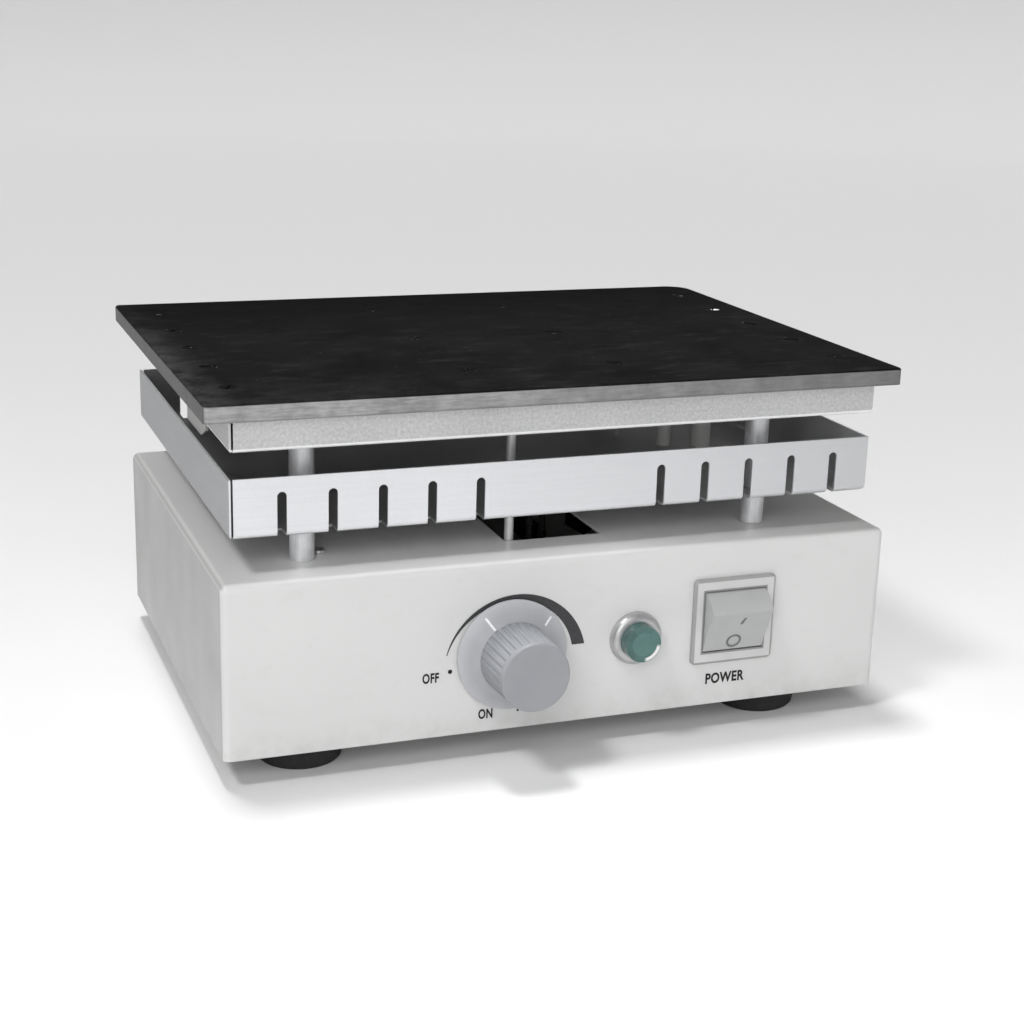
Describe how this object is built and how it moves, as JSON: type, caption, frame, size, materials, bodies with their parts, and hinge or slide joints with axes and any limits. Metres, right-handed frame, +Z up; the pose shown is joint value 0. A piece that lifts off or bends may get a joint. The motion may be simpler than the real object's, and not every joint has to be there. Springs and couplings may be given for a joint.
{
  "type": "laboratory hot plate",
  "caption": "Bench hot plate: thick black plate on a skirt and posts over a slotted heat-shield tray and a low casing with rotary control, pilot lamp and rocker switch.",
  "frame": {"origin": "bench level, under the middle of the casing, which is also the middle of the overall box seen from above", "axes": "+Z up, +X along the control panel to the right seen from the front, -Y towards the user"},
  "size_m": [0.3084, 0.278, 0.1586],
  "materials": {
    "casing_paint": "satin off-white enamel on folded sheet steel",
    "zinc_steel": "zinc-plated sheet",
    "screw_steel": "plated fasteners",
    "plate_screw_steel": "heat-darkened steel",
    "foot_rubber": "matte black rubber",
    "tray_steel": "light galvanised sheet",
    "skirt_steel": "brushed stainless sheet",
    "plate_iron": "black heat-proof top, bare ground edge",
    "insulation": "mineral fibre board",
    "mica": "pressed mica",
    "post_metal": "turned, bright",
    "sensor_steel": "drawn steel tube",
    "lead_ceramic": "unglazed white ceramic",
    "lead_sleeve": "glass-braid sleeve",
    "knob_plastic": "satin grey plastic",
    "pot_metal": "stamped, dull",
    "chrome_ring": "bright plated",
    "lens_green": "translucent teal-green, faceted",
    "bulb_glass": "clear neon bulb",
    "black_plastic": "black moulded plastic",
    "switch_plastic": "pale grey moulded plastic",
    "rocker_plastic": "pale grey moulded plastic",
    "tab_brass": "plain brass",
    "board_green": "solder-mask green",
    "capacitor_body": "moulded plastic"
  },
  "bodies": {
    "base": {"base_sheet": "zinc_steel", "board_capacitor": "capacitor_body", "board_standoffs": "screw_steel", "bottom_cover": "zinc_steel", "casing": "casing_paint", "clamp_sheet": "zinc_steel", "control_board": "board_green", "cover_screws": "screw_steel", "earth_post": "sensor_steel", "earth_screw": "screw_steel", "foot_bl": "foot_rubber", "foot_br": "foot_rubber", "foot_fl": "foot_rubber", "foot_fr": "foot_rubber", "foot_screws": "screw_steel", "fuse_cap": "black_plastic", "fuse_holder": "black_plastic", "gland_body": "black_plastic", "gland_dome": "black_plastic", "gland_locknut": "black_plastic", "gland_seal": "foot_rubber", "heat_shield_tray": "tray_steel", "heater_lead_a": "lead_sleeve", "heater_lead_b": "lead_sleeve", "hot_plate": "plate_iron", "insulation_board": "insulation", "lamp_body": "black_plastic", "lamp_bulb": "bulb_glass", "lamp_lens": "lens_green", "lamp_nut": "screw_steel", "lamp_ring": "chrome_ring", "lead_tube_a": "lead_ceramic", "lead_tube_b": "lead_ceramic", "lower_post_bl": "post_metal", "lower_post_br": "post_metal", "lower_post_fl": "post_metal", "lower_post_fr": "post_metal", "mica_heater": "mica", "plate_screws": "plate_screw_steel", "plate_skirt": "skirt_steel", "post_studs": "screw_steel", "pot_nut": "chrome_ring", "potentiometer": "pot_metal", "rim_nuts": "screw_steel", "sensor_tube": "sensor_steel", "skirt_bracket": "zinc_steel", "stud_nuts": "screw_steel", "switch_body": "switch_plastic", "switch_tabs": "tab_brass", "terminal_screws": "screw_steel", "terminal_strip": "capacitor_body", "triac_heat_sink": "pot_metal", "upper_post_bl": "post_metal", "upper_post_br": "post_metal", "upper_post_fl": "post_metal", "upper_post_fr": "post_metal"},
    "knob": {"knob": "knob_plastic", "pot_shaft": "screw_steel"},
    "rocker": {"switch_rocker": "rocker_plastic"}
  },
  "joints": [
    {"name": "knob_turn", "type": "hinge", "parent": "base", "child": "knob", "pos_m": [-0.0275, -0.12, 0.0462], "axis": [0, -1, 0], "range_deg": [-137, 65]},
    {"name": "rocker_tilt", "type": "hinge", "parent": "base", "child": "rocker", "pos_m": [0.0758, -0.107, 0.0513], "axis": [-1, 0, 0], "range_deg": [0, 48]}
  ]
}
